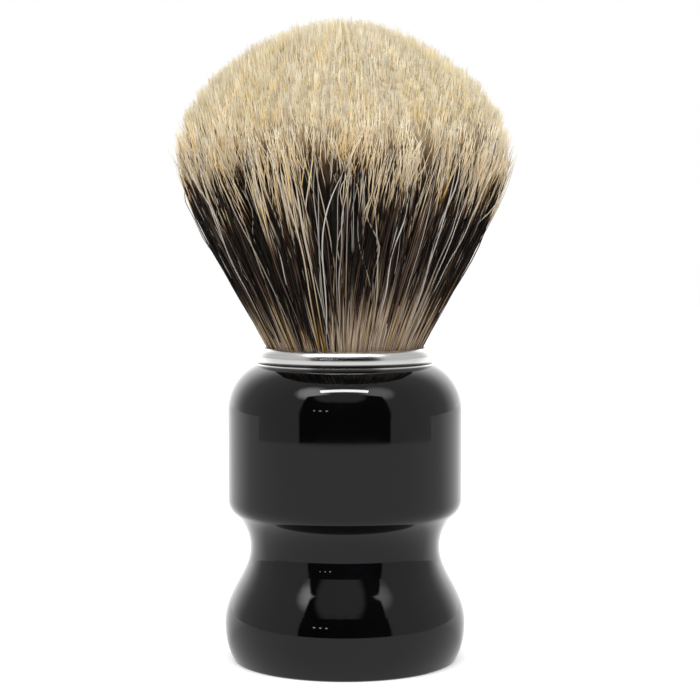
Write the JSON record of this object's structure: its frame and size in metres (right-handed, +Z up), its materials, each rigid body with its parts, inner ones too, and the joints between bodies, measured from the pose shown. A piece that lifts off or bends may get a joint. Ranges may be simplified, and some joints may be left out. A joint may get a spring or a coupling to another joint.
{
  "type": "shaving brush",
  "caption": "Upright shaving brush with a turned gloss resin handle, a polished collar ring and a bulb-shaped knot of banded badger hair.",
  "frame": {"origin": "centre of the foot, on the surface that the brush stands on", "axes": "+Z up along the axis of the handle and the knot, towards the crown of the hair; X and Y are any pair across it"},
  "size_m": [0.0546, 0.0546, 0.1049],
  "materials": {
    "handle_resin": "turned and polished black casting resin",
    "collar_metal": "turned and polished",
    "adhesive": "cured epoxy, as cast",
    "sleeve_plastic": "moulded nylon",
    "plug_resin": "cast epoxy",
    "thread": "waxed cotton",
    "hair": "badger hair, banded cream, dark brown and tan"
  },
  "bodies": {
    "root": {"handle": "handle_resin", "collar_ring": "collar_metal", "setting_adhesive": "adhesive", "knot_sleeve": "sleeve_plastic", "root_plug": "plug_resin", "binding_thread": "thread", "hair_bundle": "hair"}
  },
  "joints": []
}
